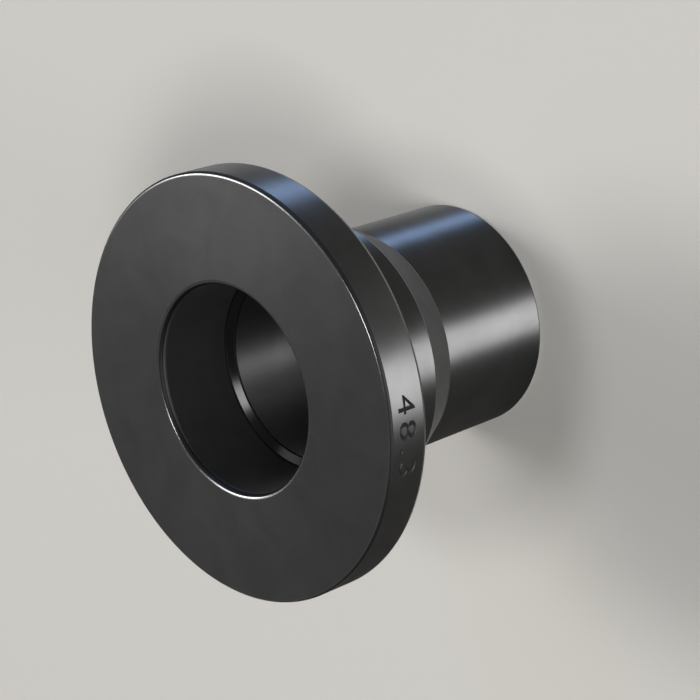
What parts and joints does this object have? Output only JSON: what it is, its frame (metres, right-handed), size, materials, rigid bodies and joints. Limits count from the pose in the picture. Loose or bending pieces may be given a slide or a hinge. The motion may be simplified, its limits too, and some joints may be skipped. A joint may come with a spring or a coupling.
{
  "type": "lap joint stub end",
  "caption": "Turned steel stub end: a flat sealing collar, a hub and a short taper to a plain butt-weld pipe end, round a stepped bore; a loose flange clamps the collar.",
  "frame": {"origin": "centre of the weld end, on the plane that the part stands on", "axes": "+Z along the turning axis, from the weld end towards the sealing face; X and Y lie across it"},
  "size_m": [0.088, 0.088, 0.066],
  "materials": {
    "dark_steel": "fine-turned and blackened, satin"
  },
  "bodies": {
    "root": {"stub_end": "dark_steel"}
  },
  "joints": []
}
